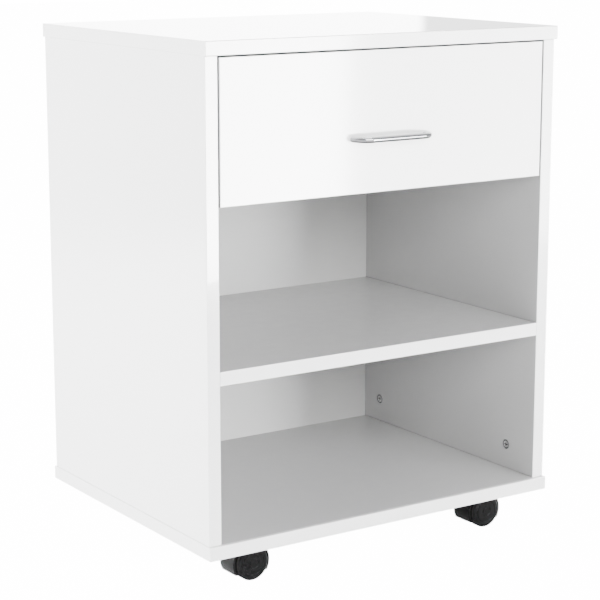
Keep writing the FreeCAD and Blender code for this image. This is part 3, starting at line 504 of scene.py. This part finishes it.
def black_hood_paint():
    """Black nylon hood: moulding haze and scuffed edges."""
    paint, cloud = black_nylon("black_nylon_hood", 120.0)
    worn = paint.remap(paint.edges(SCUFF_WIDTH), *SCUFF_SHARPNESS, 1.0, 0.0)
    scuff = paint.reckon("MULTIPLY", worn, paint.vary(0.0, 0.6, 700.0, 4.0, span=PATCHES))
    paint.link(paint.blend(scuff, cloud, (0.016, 0.016, 0.0165)), "Base Color")
    paint.link(paint.vary(0.12, 0.26, 350.0, 4.0), "Roughness")
    paint.bump(paint.noise(90.0, 2.0), 0.2, 0.05 * MM)
    paint.bump(paint.noise(1500.0, 2.0), 0.15, 0.01 * MM)
    return paint.material


def black_wheel_paint():
    """Black nylon wheel: shiny face and dull dusty tread."""
    paint, cloud = black_nylon("black_nylon_wheel", 150.0)
    tread = paint.remap(paint.from_axle(), TREAD_START, TREAD_END, 0.0, 1.0)
    dust = paint.reckon("MULTIPLY", tread, paint.vary(0.1, 0.9, 500.0, 5.0, span=PATCHES))
    paint.link(paint.blend(dust, cloud, (0.014, 0.0137, 0.0131)), "Base Color")
    dull = paint.remap(tread, 0.0, 1.0, 0.0, 0.3)
    paint.link(paint.reckon("ADD", paint.vary(0.14, 0.27, 400.0, 4.0), dull), "Roughness")
    paint.bump(paint.noise(1300.0, 2.0), 0.2, 0.015 * MM)
    return paint.material


def beech_paint():
    """Beech dowel: fine straight grain with darker flecks."""
    paint = Paint("beech", (0.6, 0.42, 0.25), 0.6)
    grain = paint.noise(300.0, 6.0, (1, 1, 0.1))
    paint.link(paint.blend(grain, (0.46, 0.3, 0.17), (0.72, 0.54, 0.35)), "Base Color")
    paint.link(paint.remap(grain, *NOISE_SPAN, 0.5, 0.72), "Roughness")
    paint.bump(grain, 0.4, 0.06 * MM)
    return paint.material


PAINTS = {
    "gloss_board": gloss_board_paint(),
    "drawer_board": satin_board_paint(),
    "thin_board": thin_board_paint(),
    # painted shade: the cams' zinc is painted near black, for the shade in the gap round each cam
    "zinc_cam": zinc_paint("zinc_painted_dark_as_shade", (0.08, 0.08, 0.083), (0.17, 0.17, 0.173)),
    "plated_steel": steel_paint(
        "bright_zinc_plate", (0.66, 0.67, 0.69), (0.5, 0.5, 0.52), 0.18, 0.34),
    "caster_steel": steel_paint(
        "pressed_zinc_plate", (0.6, 0.61, 0.62), (0.44, 0.44, 0.45), 0.26, 0.42),
    "chrome_rod": chrome_paint(),
    "runner_enamel": enamel_paint(),
    "white_nylon": nylon_paint(),
    "black_nylon": black_hood_paint(),
    "black_wheel": black_wheel_paint(),
    "beech_dowel": beech_paint(),
}
BRIGHT_ZINC = zinc_paint("bright_zinc_dish", (0.75, 0.75, 0.76), (0.9, 0.9, 0.9))


def paint_frame():
    """Gives every CAD node the finish of its slot."""
    for name, node in NODES.items():
        node.data.materials.clear()
        node.data.materials.append(PAINTS[SLOT_OF[name]])


# ---- mesh kit ----

# edges sharper than this many degrees stay sharp
SHARP_EDGE = 32
# a profile point nearer the axis than this lies on it
ON_AXIS = 1e-7
# segments round posts, round bores and round the cams' bolt sockets
POST_SEGMENTS, BORE_SEGMENTS, SOCKET_SEGMENTS = 64, 48, 32


def turns(count):
    """The angles of count even steps round a circle."""
    return [2 * math.pi * step / count for step in range(count)]


def round_corner(before, corner, after, radius, steps):
    """The points of a fillet at one corner of a flat outline."""
    into = (Vector(before) - Vector(corner)).normalized()
    out = (Vector(after) - Vector(corner)).normalized()
    half = into.angle(out) / 2
    reach = radius / math.tan(half)
    centre = Vector(corner) + (into + out).normalized() * radius / math.sin(half)
    start = Vector(corner) + into * reach - centre
    end = Vector(corner) + out * reach - centre
    sweep = start.angle_signed(end)
    points = []
    for step in range(steps + 1):
        turn = -sweep * step / steps
        x = start.x * math.cos(turn) - start.y * math.sin(turn)
        y = start.x * math.sin(turn) + start.y * math.cos(turn)
        points.append((centre.x + x, centre.y + y))
    return points


def rounded(outline, closed=False, steps=5):
    """An outline whose corners, given as (u, v, radius), are rounded where radius is not 0."""
    flat = [Vector(point[:2]) for point in outline]
    count = len(flat)
    points = []
    for index, (u, v, radius) in enumerate(outline):
        inner = closed or 0 < index < count - 1
        if radius and inner:
            before, after = flat[index - 1], flat[(index + 1) % count]
            points += round_corner(before, (u, v), after, radius, steps)
        else:
            points.append((u, v))
    return points


def skin(shape, first, second):
    """Faces between two rings of vertices; one of them may be a single point."""
    count = max(len(first), len(second))
    for step in range(count):
        following = (step + 1) % count
        if len(first) == 1:
            shape.faces.new((first[0], second[following], second[step]))
        elif len(second) == 1:
            shape.faces.new((first[step], first[following], second[0]))
        else:
            shape.faces.new((first[step], first[following], second[following], second[step]))


def lathe(profile, axis, segments, closed=False):
    """A mesh turned about axis through the origin, from (radius, distance along axis) points.

    A closed profile goes round a ring that keeps clear of the axis; any other profile starts
    and ends on the axis.
    """
    shape = bmesh.new()
    turn = Z_AXIS.rotation_difference(axis).to_matrix()
    rings = []
    for radius, along in profile:
        if radius < ON_AXIS:
            points = [Vector((0, 0, along))]
        else:
            points = [Vector((radius * math.cos(angle), radius * math.sin(angle), along))
                      for angle in turns(segments)]
        rings.append([shape.verts.new(turn @ point) for point in points])
    for first, second in zip(rings, rings[1:] + rings[:1] if closed else rings[1:]):
        skin(shape, first, second)
    bmesh.ops.recalc_face_normals(shape, faces=shape.faces)
    return shape


def rod(radius, low, high, axis, segments, offset=(0, 0, 0)):
    """A plain cylinder along axis from low to high, moved by offset."""
    shape = lathe([(0, low), (radius, low), (radius, high), (0, high)], axis, segments)
    bmesh.ops.translate(shape, verts=shape.verts, vec=offset)
    return shape


def loft(outlines):
    """A closed mesh through outlines that have as many points each, with flat ends."""
    shape = bmesh.new()
    rings = [[shape.verts.new(point) for point in outline] for outline in outlines]
    for first, second in zip(rings, rings[1:]):
        skin(shape, first, second)
    shape.faces.new(rings[0][::-1])
    shape.faces.new(rings[-1])
    bmesh.ops.recalc_face_normals(shape, faces=shape.faces)
    return shape


def smooth(mesh, sharp):
    """Smooth faces, with the edges sharper than sharp degrees kept."""
    mesh.polygons.foreach_set("use_smooth", [True] * len(mesh.polygons))
    mesh.set_sharp_from_angle(angle=math.radians(sharp))


def as_object(name, shape, sharp=SHARP_EDGE):
    """Turns a bmesh into a smooth object."""
    mesh = bpy.data.meshes.new(name)
    shape.to_mesh(mesh)
    shape.free()
    smooth(mesh, sharp)
    item = bpy.data.objects.new(name, mesh)
    bpy.context.scene.collection.objects.link(item)
    return item


def mesh_of(item):
    """Removes an object and keeps its mesh."""
    mesh = item.data
    bpy.data.objects.remove(item)
    return mesh


def combine(name, base, steps, sharp=SHARP_EDGE):
    """Adds and cuts shapes: steps are ("UNION" or "DIFFERENCE", bmesh) pairs."""
    item = as_object(name, base, sharp)
    for kind, shape in steps:
        tool = as_object("tool", shape)
        modifier = item.modifiers.new(kind, "BOOLEAN")
        modifier.operation = kind
        modifier.solver = "EXACT"
        modifier.object = tool
        graph = bpy.context.evaluated_depsgraph_get()
        mesh = bpy.data.meshes.new_from_object(item.evaluated_get(graph))
        item.modifiers.clear()
        old = item.data
        item.data = mesh
        bpy.data.meshes.remove(old)
        bpy.data.meshes.remove(mesh_of(tool))
    item.data.name = name
    smooth(item.data, sharp)
    return item


def spread(name, source, places):
    """One object that holds a copy of source's mesh at each place, then drops source."""
    shape = bmesh.new()
    for place in places:
        part = source.data.copy()
        part.transform(place)
        shape.from_mesh(part)
        bpy.data.meshes.remove(part)
    bpy.data.meshes.remove(mesh_of(source))
    return as_object(name, shape)


def stand_for(piece, slot, *nodes):
    """Paints a piece, and lets it take the place of CAD nodes and ride on their body."""
    piece.data.materials.append(PAINTS[slot])
    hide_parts(*nodes)
    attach(piece, BODY_OF[nodes[0]])


def middle(node):
    """The middle of a CAD node's box."""
    low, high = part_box(node)
    return (low + high) / 2


# ---- handle ----

# the radius that each bend follows, along the middle of the rod
HANDLE_BEND = 15.75 * MM
BEND_STEPS = 32
HANDLE_AROUND = 48


def make_handle():
    """The bow handle: one round rod with two even bends, its feet flat on the drawer front."""
    low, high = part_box("drawer_handle")
    radius = (high.z - low.z) / 2
    face = high.y
    bar = low.y + radius
    foot = high.x - radius
    path = [(Vector((-foot, face, 0)), -Y_AXIS)]
    for step in range(BEND_STEPS + 1):
        angle = math.pi / 2 * step / BEND_STEPS
        across = HANDLE_BEND - foot - HANDLE_BEND * math.cos(angle)
        out = bar + HANDLE_BEND - HANDLE_BEND * math.sin(angle)
        ahead = Vector((math.sin(angle), -math.cos(angle), 0))
        path.append((Vector((across, out, 0)), ahead))
    path += [(Vector((-p.x, p.y, 0)), Vector((d.x, -d.y, 0))) for p, d in reversed(path)]
    outlines = []
    for point, ahead in path:
        side = Z_AXIS.cross(ahead)
        outlines.append([
            point + (side * math.cos(angle) + Z_AXIS * math.sin(angle)) * radius
            for angle in turns(HANDLE_AROUND)
        ])
    handle = as_object("bow_handle", loft(outlines))
    handle.location.z = (low.z + high.z) / 2
    stand_for(handle, "chrome_rod", "drawer_handle")


# ---- casters ----

WHEEL_SEGMENTS = 128
WHEEL_BORE = 3.05 * MM
# how far from the swivel's plane the wheel's hollow back and its axle bore end
WHEEL_HOLLOW_END = 14.6 * MM
WHEEL_BORE_END = 15.5 * MM

# the axle's distance behind the swivel
AXLE_TRAIL = 14 * MM
HOOD_SEGMENTS = 160
HOOD_SHARP_EDGE = 38
HOOD_RIM = 1.6 * MM
# the room for each wheel, its flared mouth, and half the web between the two
HOOD_INNER = 20.7 * MM
MOUTH_FLARE = 0.6 * MM
MOUTH_DEPTH = 0.5 * MM
WEB_HALF = 6.3 * MM
# how far a cut reaches past the outside
CUT_PAST = 2 * MM
# heights above the floor: the kingpin's sleeve, the neck round it and the socket in both
SLEEVE_RADIUS, SLEEVE_LOW, SLEEVE_HIGH = 6.2 * MM, 19.5 * MM, 39 * MM
NECK_RADIUS, NECK_LOW, NECK_EASE = 8 * MM, 38.6 * MM, 0.5 * MM
SOCKET_RADIUS, SOCKET_LOW, SOCKET_HIGH = 3.55 * MM, 21.7 * MM, 50 * MM
AXLE_HOLE, AXLE_HOLE_HALF = 3.03 * MM, 10 * MM


def make_wheel_mesh(half, near, far):
    """One wheel about Y, its shiny face at -far and its hollow back at -near."""
    profile = [
        # radius, place along the axle, fillet; the hub cap and the groove round it
        (0, -far, 0),
        (4.2 * MM, -far, 0),
        (4.8 * MM, -far + 0.5 * MM, 0.3 * MM),
        (5.6 * MM, -far + 0.5 * MM, 0.3 * MM),
        (6.2 * MM, -far + 0.05 * MM, 0.2 * MM),
        # the dished face and its outer groove
        (12.4 * MM, -far + 0.25 * MM, 0.3 * MM),
        (12.9 * MM, -far + 0.85 * MM, 0.25 * MM),
        (13.5 * MM, -far + 0.4 * MM, 0.3 * MM),
        # the shoulder and the tread
        (17.4 * MM, -far + 0.95 * MM, 2.0 * MM),
        (half, -far + 2.7 * MM, 1.2 * MM),
        (half, -near - 0.6 * MM, 0.5 * MM),
        # the back: rim, hollow, hub and axle bore
        (half - 0.6 * MM, -near, 0.3 * MM),
        (17 * MM, -near, 0.3 * MM),
        (16.8 * MM, -WHEEL_HOLLOW_END, 1.0 * MM),
        (5.6 * MM, -WHEEL_HOLLOW_END, 0.8 * MM),
        (5.4 * MM, -near, 0.4 * MM),
        (WHEEL_BORE, -near, 0.3 * MM),
        (WHEEL_BORE, -WHEEL_BORE_END, 0),
        (0, -WHEEL_BORE_END, 0),
    ]
    return mesh_of(as_object("wheel", lathe(rounded(profile, steps=4), Y_AXIS, WHEEL_SEGMENTS)))


def make_hood_mesh(low, high, axle_height):
    """One hood about its axle: rounded cover with room for both wheels, web, neck and socket."""
    radius = (high.x - low.x) / 2
    half = (high.y - low.y) / 2
    cover_line = [(0, -half, 0), (radius, -half, HOOD_RIM), (radius, half, HOOD_RIM), (0, half, 0)]
    cover = lathe(rounded(cover_line), Y_AXIS, HOOD_SEGMENTS)

    wide, skirt = 2 * radius, low.z - axle_height
    corners = ((-wide, -wide), (wide, -wide), (wide, skirt), (-wide, skirt))
    below = loft([[(x, y, z) for x, z in corners] for y in (-wide, wide)])
    steps = [("DIFFERENCE", below)]
    for way in (1, -1):
        inner, outer = way * WEB_HALF, way * (half + CUT_PAST)
        mouth = way * (half - MOUTH_DEPTH)
        flared = HOOD_INNER + MOUTH_FLARE
        recess = [(0, inner), (HOOD_INNER, inner), (HOOD_INNER, mouth), (flared, way * half)]
        recess += [(flared, outer), (0, outer)]
        steps.append(("DIFFERENCE", lathe(recess, Y_AXIS, HOOD_SEGMENTS)))

    pin = (-AXLE_TRAIL, 0, -axle_height)
    neck_line = [(0, NECK_LOW, 0), (NECK_RADIUS, NECK_LOW, 0)]
    neck_line += [(NECK_RADIUS, high.z, NECK_EASE), (0, high.z, 0)]
    neck = lathe(rounded(neck_line), Z_AXIS, POST_SEGMENTS)
    bmesh.ops.translate(neck, verts=neck.verts, vec=pin)
    sleeve = rod(SLEEVE_RADIUS, SLEEVE_LOW, SLEEVE_HIGH, Z_AXIS, POST_SEGMENTS, pin)
    socket = rod(SOCKET_RADIUS, SOCKET_LOW, SOCKET_HIGH, Z_AXIS, BORE_SEGMENTS, pin)
    bore = rod(AXLE_HOLE, -AXLE_HOLE_HALF, AXLE_HOLE_HALF, Y_AXIS, BORE_SEGMENTS)
    steps += [("UNION", sleeve), ("UNION", neck), ("DIFFERENCE", socket), ("DIFFERENCE", bore)]
    return mesh_of(combine("hood", cover, steps, HOOD_SHARP_EDGE))


def place_shared(name, mesh, location, turn=0.0):
    """An object that shows a mesh which others share, turned about Z."""
    item = bpy.data.objects.new(name, mesh)
    item.location = location
    item.rotation_euler.z = turn
    bpy.context.scene.collection.objects.link(item)
    return item


def make_casters():
    """Detailed wheels and hoods for the four casters."""
    low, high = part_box("front_left_caster_front_wheel")
    swivel = middle("front_left_kingpin")
    wheel_mesh = make_wheel_mesh((high.z - low.z) / 2, swivel.y - high.y, swivel.y - low.y)
    wheel_mesh.materials.append(PAINTS["black_wheel"])
    hood_mesh = make_hood_mesh(*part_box("front_left_caster_hood"), (low.z + high.z) / 2)
    hood_mesh.materials.append(PAINTS["black_nylon"])
    for corner in CORNERS:
        pin = middle(f"{corner}_kingpin")
        axle = middle(f"{corner}_caster_axle")
        for face, turn in (("front", 0.0), ("back", math.pi)):
            place = (axle.x, pin.y, axle.z)
            wheel = place_shared(f"{corner}_{face}_wheel", wheel_mesh, place, turn)
            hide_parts(f"{corner}_caster_{face}_wheel")
            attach(wheel, f"{corner}_{face}_wheel")
        hood = place_shared(f"{corner}_hood", hood_mesh, axle)
        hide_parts(f"{corner}_caster_hood")
        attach(hood, f"{corner}_caster")


# ---- cams ----

CAM_RADIUS = 5.6 * MM
CAM_DISH = 0.45 * MM
# the driver's cross: half its length and width, its depth, and its blades' taper
CROSS_REACH, CROSS_ARM, CROSS_DEPTH = 3.2 * MM, 0.7 * MM, 2.0 * MM
CROSS_FLARE, CROSS_TAPER = 1.12, 0.62
# the cross is cut from above the dish, down from this height
CROSS_TOP = -0.4 * MM
CROSS_RISE = 0.5 * MM
# the bolt's socket: radius, length, how far before the middle it starts, and how deep it lies,
# which in a short cam is a share of the cam's length
BOLT_SOCKET, BOLT_SOCKET_LENGTH, BOLT_SOCKET_START = 3.1 * MM, 9 * MM, 2.2 * MM
BOLT_DEPTH, BOLT_DEPTH_SHARE = 7.5 * MM, 0.66
# a face this near the dish's level belongs to the dish
LEVEL_SLACK = 0.02 * MM
# the material slot of the bright dish, after the drum's own, whose zinc is painted dark as the
# shade in the gap round the cam
BRIGHT_SLOT = 1


def make_cross():
    """Two crossing tapered blades, as the driver leaves them, pointing down."""
    ends = ((CROSS_TOP + CROSS_RISE, CROSS_FLARE), (CROSS_TOP - CROSS_DEPTH, CROSS_TAPER))
    corners = ((-1, -1), (1, -1), (1, 1), (-1, 1))
    blades = []
    for half_x, half_y in ((CROSS_REACH, CROSS_ARM), (CROSS_ARM, CROSS_REACH)):
        outlines = []
        for z, size in ends:
            outlines.append([(i * half_x * size, j * half_y * size, z) for i, j in corners])
        blades.append(loft(outlines))
    return blades


def make_cam(length):
    """A cam lock about Z with its face at 0: raised rim, cross recess and bolt socket."""
    r = CAM_RADIUS
    line = [
        # radius, height, fillet; the foot, the drum and the raised rim round the dish
        (0, -length, 0), (r - 0.4 * MM, -length, 0.2 * MM), (r - 0.4 * MM, -1.6 * MM, 0.2 * MM),
        (r, -1.3 * MM, 0.1 * MM), (r, -0.02 * MM, 0.25 * MM), (r - 1.4 * MM, -0.02 * MM, 0.15 * MM),
        (r - 1.7 * MM, -CAM_DISH, 0.15 * MM), (0, -CAM_DISH, 0),
    ]
    body = lathe(rounded(line, steps=3), Z_AXIS, POST_SEGMENTS)
    place = (0, -BOLT_SOCKET_START, -min(BOLT_DEPTH, length * BOLT_DEPTH_SHARE))
    socket = rod(BOLT_SOCKET, 0, BOLT_SOCKET_LENGTH, Y_AXIS, SOCKET_SEGMENTS, place)
    cam = combine("cam", body, [("DIFFERENCE", shape) for shape in (*make_cross(), socket)])
    for polygon in cam.data.polygons:
        if abs(polygon.center.z + CAM_DISH) < LEVEL_SLACK:
            polygon.material_index = BRIGHT_SLOT
    return cam


def facing(origin, out, towards):
    """The place of a cam at origin that faces along out and takes its bolt from towards."""
    across = towards.cross(out)
    columns = Matrix((across, towards, out)).transposed().to_4x4()
    return Matrix.Translation(origin) @ columns


def add_cams(name, length, places, node):
    """A cam lock at each place, in place of node, its drum's zinc painted dark as shade and its
    dish a bright zinc.
    """
    cams = spread(name, make_cam(length), places)
    stand_for(cams, "zinc_cam", node)
    cams.data.materials.append(BRIGHT_ZINC)


def make_cams():
    """Cam locks in the sides, in the underside of the shelf and in the drawer's sides."""
    low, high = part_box("side_cam_locks")
    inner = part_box("right_side_panel")[0].x
    places = []
    for hand in (-1, 1):
        for y in (low.y + CAM_RADIUS, high.y - CAM_RADIUS):
            for z, end in ((low.z + CAM_RADIUS, -1), (high.z - CAM_RADIUS, 1)):
                places.append(facing((hand * inner, y, z), -hand * X_AXIS, end * Z_AXIS))
    add_cams("side_cams", high.x - inner, places, "side_cam_locks")

    low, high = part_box("shelf_cam_locks")
    outer = high.x - CAM_RADIUS
    places = []
    for hand in (-1, 1):
        for y in (low.y + CAM_RADIUS, high.y - CAM_RADIUS):
            places.append(facing((hand * outer, y, low.z), -Z_AXIS, hand * X_AXIS))
    add_cams("shelf_cams", high.z - low.z, places, "shelf_cam_locks")

    low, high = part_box("drawer_cam_locks")
    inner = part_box("drawer_right_side")[0].x
    y = (low.y + high.y) / 2
    places = []
    for hand in (-1, 1):
        for z in (low.z + CAM_RADIUS, high.z - CAM_RADIUS):
            places.append(facing((hand * inner, y, z), -hand * X_AXIS, -Y_AXIS))
    add_cams("drawer_cams", high.x - inner, places, "drawer_cam_locks")


# ---- drawer rollers ----

ROLLER_BORE = 2.1 * MM
ROLLER_DISH = 0.7 * MM
ROLLER_SEGMENTS = 96


def make_rollers():
    """Moulded nylon rollers with a rounded tread and a raised hub."""
    for hand in HANDS:
        for kind in ("cabinet", "drawer"):
            node = f"{hand}_{kind}_roller"
            low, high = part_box(node)
            half, radius = (high.x - low.x) / 2, (high.z - low.z) / 2
            line = [
                # radius, place along the axle, fillet; the hub, the dish and the tread
                (ROLLER_BORE, -half, 0),
                (ROLLER_BORE + 1.4 * MM, -half, 0.3 * MM),
                (ROLLER_BORE + 1.8 * MM, ROLLER_DISH - half, 0.3 * MM),
                (radius - 2.2 * MM, ROLLER_DISH - half, 0.4 * MM),
                (radius - 1.6 * MM, -half, 0.3 * MM),
                (radius, -half, 0.7 * MM),
            ]
            profile = rounded(line + [(r, -x, ease) for r, x, ease in reversed(line)], closed=True)
            shape = lathe(profile, X_AXIS, ROLLER_SEGMENTS, closed=True)
            roller = as_object(f"{node}_moulding", shape)
            roller.location = (low + high) / 2
            stand_for(roller, "white_nylon", node)


# ---- make everything ----

add_camera()
add_world()
add_lights()
add_floor()
paint_frame()
make_handle()
make_casters()
make_cams()
make_rollers()
